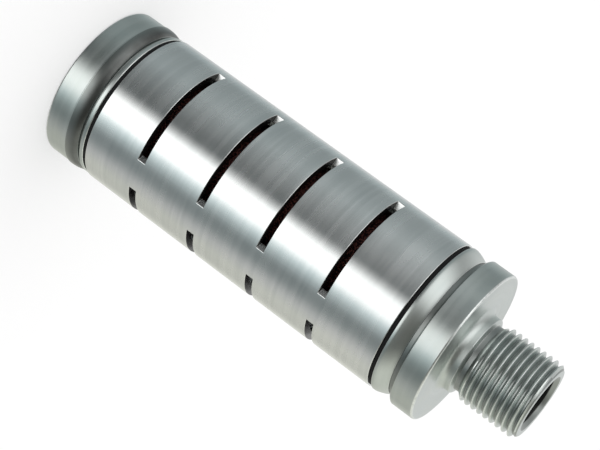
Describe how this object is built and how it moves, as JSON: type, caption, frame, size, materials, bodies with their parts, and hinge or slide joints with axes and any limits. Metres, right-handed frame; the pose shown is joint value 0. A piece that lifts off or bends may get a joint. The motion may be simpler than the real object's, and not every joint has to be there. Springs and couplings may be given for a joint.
{
  "type": "pneumatic muffler",
  "caption": "Round metal exhaust muffler with a slotted sleeve, a flat end cap and a threaded inlet; air leaves through porous rings.",
  "frame": {"origin": "centre of the end cap's flat back face, on the muffler's axis", "axes": "+Z along the axis, from the end cap towards the inlet thread; -Y through the middle of one column of slots"},
  "size_m": [0.0356, 0.0356, 0.117],
  "materials": {
    "plated_steel": "satin zinc plating",
    "sleeve_aluminium": "fine turned satin",
    "black_rubber": "matt",
    "core_steel": "bright, oiled",
    "brass": "machined",
    "porous_bronze": "sintered, grainy",
    "spacer_aluminium": "machined",
    "grey_fibre": "pressed fibre, matt",
    "spring_steel": "black oiled"
  },
  "bodies": {
    "root": {"inlet_body": "plated_steel", "end_cap": "plated_steel", "slotted_sleeve": "sleeve_aluminium", "front_gasket": "black_rubber", "rear_gasket": "black_rubber", "front_o_ring": "black_rubber", "rear_o_ring": "black_rubber", "core_tube": "core_steel", "core_plug": "brass", "porous_ring_1": "porous_bronze", "porous_ring_2": "porous_bronze", "porous_ring_3": "porous_bronze", "porous_ring_4": "porous_bronze", "spacer_ring_1": "spacer_aluminium", "spacer_ring_2": "spacer_aluminium", "spacer_ring_3": "spacer_aluminium", "front_element_washer": "core_steel", "rear_element_washer": "core_steel", "front_element_seal": "grey_fibre", "rear_element_seal": "grey_fibre", "disc_spring": "spring_steel", "cap_screw": "spring_steel", "lock_washer": "spring_steel", "screw_washer": "core_steel"}
  },
  "joints": []
}
